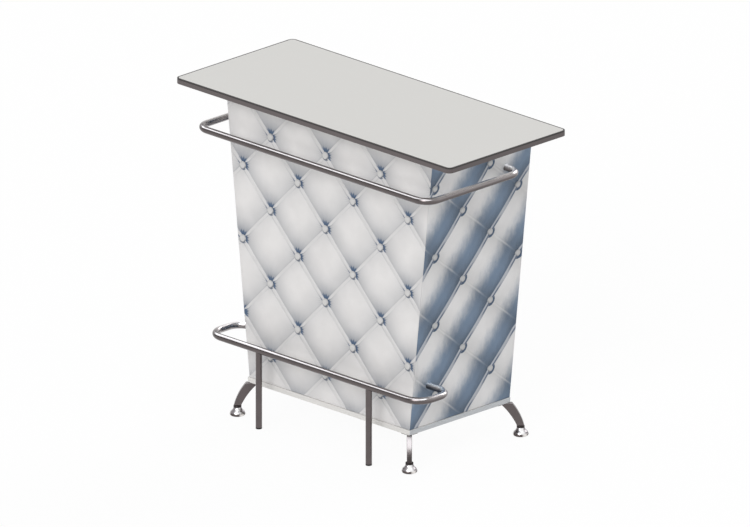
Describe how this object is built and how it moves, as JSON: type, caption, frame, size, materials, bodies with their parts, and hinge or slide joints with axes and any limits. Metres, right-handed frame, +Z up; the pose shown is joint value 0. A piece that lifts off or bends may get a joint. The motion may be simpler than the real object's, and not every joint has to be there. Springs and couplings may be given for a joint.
{
  "type": "bar cabinet",
  "caption": "Home bar cabinet with flared, button-tufted white panels, a laminate worktop, dark chrome hand rail and foot rail, and levelling feet",
  "frame": {"origin": "Centre of the bounding box on the floor", "axes": "+X along the worktop, +Y from the front with the rails to the rear with the doors, +Z up"},
  "size_m": [1.2, 0.5724, 1.062],
  "materials": {
    "worktop_laminate": "satin light grey laminate on board",
    "edge_band": "satin dark grey edge band",
    "white_board": "satin white melamine on board",
    "white_leather": "soft satin leatherette",
    "dark_chrome": "polished dark chrome",
    "dark_metal": "satin dark grey",
    "steel": "satin zinc-plated",
    "black_plastic": "matt black"
  },
  "bodies": {
    "cabinet": {"worktop": "worktop_laminate", "worktop_edge_band": "edge_band", "base_panel": "white_board", "front_panel": "white_board", "left_side_panel": "white_board", "right_side_panel": "white_board", "centre_divider": "white_board", "middle_shelf": "white_board", "left_lower_shelf": "white_board", "right_lower_shelf": "white_board", "rear_stretcher": "white_board", "front_tufted_pad": "white_leather", "left_tufted_pad": "white_leather", "right_tufted_pad": "white_leather", "hand_rail": "dark_chrome", "foot_rail": "dark_chrome", "hand_rail_left_bolt": "steel", "hand_rail_right_bolt": "steel", "foot_rail_left_bolt": "steel", "foot_rail_right_bolt": "steel", "left_foot_rail_post": "dark_chrome", "right_foot_rail_post": "dark_chrome", "left_foot_rail_post_glide": "black_plastic", "right_foot_rail_post_glide": "black_plastic", "front_left_leg": "dark_chrome", "front_right_leg": "dark_chrome", "rear_left_leg": "dark_chrome", "rear_right_leg": "dark_chrome", "front_left_collar": "dark_metal", "front_right_collar": "dark_metal", "rear_left_collar": "dark_metal", "rear_right_collar": "dark_metal", "left_door_lower_hinge_frame_leaf": "steel", "left_door_lower_hinge_pin": "steel", "left_door_upper_hinge_frame_leaf": "steel", "left_door_upper_hinge_pin": "steel", "right_door_lower_hinge_frame_leaf": "steel", "right_door_lower_hinge_pin": "steel", "right_door_upper_hinge_frame_leaf": "steel", "right_door_upper_hinge_pin": "steel", "left_door_catch": "black_plastic", "right_door_catch": "black_plastic"},
    "left_door_leaf": {"left_door": "white_board", "left_door_knob": "dark_chrome", "left_door_strike": "steel", "left_door_lower_hinge_door_leaf": "steel", "left_door_upper_hinge_door_leaf": "steel"},
    "right_door_leaf": {"right_door": "white_board", "right_door_knob": "dark_chrome", "right_door_strike": "steel", "right_door_lower_hinge_door_leaf": "steel", "right_door_upper_hinge_door_leaf": "steel"},
    "front_left_leveller": {"front_left_foot": "dark_chrome"},
    "front_right_leveller": {"front_right_foot": "dark_chrome"},
    "rear_left_leveller": {"rear_left_foot": "dark_chrome"},
    "rear_right_leveller": {"rear_right_foot": "dark_chrome"}
  },
  "joints": [
    {"name": "left_door_hinge", "type": "hinge", "parent": "cabinet", "child": "left_door_leaf", "pos_m": [-0.3438, 0.24216, 0.404], "axis": [-0.1103, 0, 0.9939], "range_deg": [0, 115]},
    {"name": "right_door_hinge", "type": "hinge", "parent": "cabinet", "child": "right_door_leaf", "pos_m": [0.3438, 0.24216, 0.404], "axis": [-0.1103, 0, -0.9939], "range_deg": [0, 115]},
    {"name": "front_left_foot_travel", "type": "slide", "parent": "cabinet", "child": "front_left_leveller", "axis": [0, 0, -1], "range_m": [0, 0.008]},
    {"name": "front_right_foot_travel", "type": "slide", "parent": "cabinet", "child": "front_right_leveller", "axis": [0, 0, -1], "range_m": [0, 0.008]},
    {"name": "rear_left_foot_travel", "type": "slide", "parent": "cabinet", "child": "rear_left_leveller", "axis": [0, 0, -1], "range_m": [0, 0.008]},
    {"name": "rear_right_foot_travel", "type": "slide", "parent": "cabinet", "child": "rear_right_leveller", "axis": [0, 0, -1], "range_m": [0, 0.008]}
  ]
}
